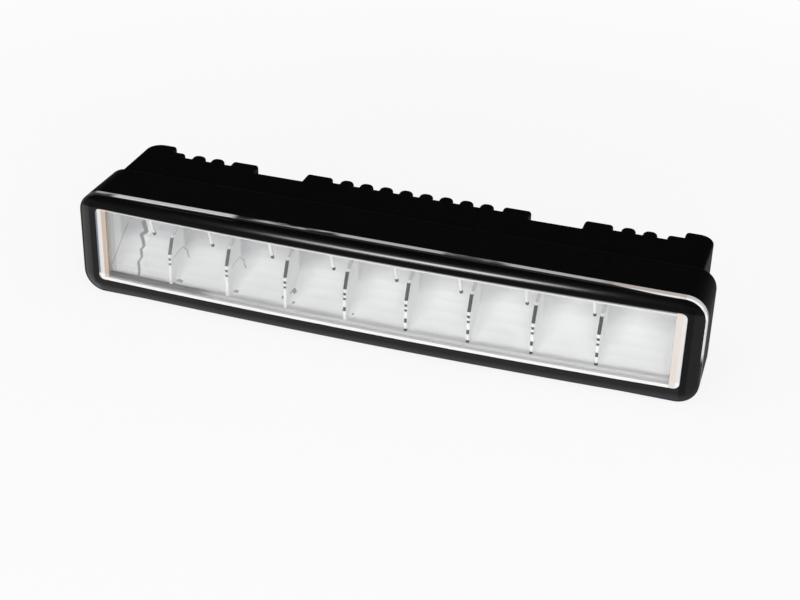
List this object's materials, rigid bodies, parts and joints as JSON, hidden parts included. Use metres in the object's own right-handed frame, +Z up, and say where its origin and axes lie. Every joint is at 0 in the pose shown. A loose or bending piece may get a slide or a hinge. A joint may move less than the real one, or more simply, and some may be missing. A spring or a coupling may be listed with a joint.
{
  "type": "daytime running light",
  "caption": "Slim black car daytime running light: gloss bezel round a long clear window, bright reflector cells behind it, and a ribbed cast housing with bracket notches.",
  "frame": {"origin": "under the middle of the lamp's box, on the flat base of its housing", "axes": "+X along the lamp, -Y out of its window, +Z up"},
  "size_m": [0.1612, 0.0375, 0.0284],
  "materials": {
    "black_casting": "matte black coated casting",
    "bezel_black": "gloss black",
    "clear_lens": "clear polycarbonate",
    "silicone": "soft silicone",
    "bright_reflector": "vacuum metallised",
    "thermal_pad": "soft filled pad",
    "board_white": "white solder mask on metal core",
    "led_yellow": "yellow phosphor in a white package",
    "board_green": "green solder mask",
    "component_black": "moulded package",
    "component_tan": "ceramic",
    "terminal_cream": "moulded terminal",
    "flex_amber": "polyimide strip",
    "screw_steel": "zinc plated",
    "gland_rubber": "matte rubber",
    "vent_grey": "moulded"
  },
  "bodies": {
    "root": {"housing": "black_casting", "bezel": "bezel_black", "lens": "clear_lens", "lens_seal": "silicone", "reflector": "bright_reflector", "thermal_pad": "thermal_pad", "led_board": "board_white", "driver_board": "board_green", "driver_chip": "component_black", "power_inductor": "component_black", "input_capacitor": "component_tan", "output_capacitor": "component_tan", "guard_diode": "component_black", "input_terminal": "terminal_cream", "flex_link": "flex_amber", "cable_gland": "gland_rubber", "vent_plug": "vent_grey", "led_board_screws": "screw_steel", "driver_screws": "screw_steel", "led_1": "led_yellow", "led_2": "led_yellow", "led_3": "led_yellow", "led_4": "led_yellow", "led_5": "led_yellow", "led_6": "led_yellow", "led_7": "led_yellow", "led_8": "led_yellow", "led_9": "led_yellow"}
  },
  "joints": []
}
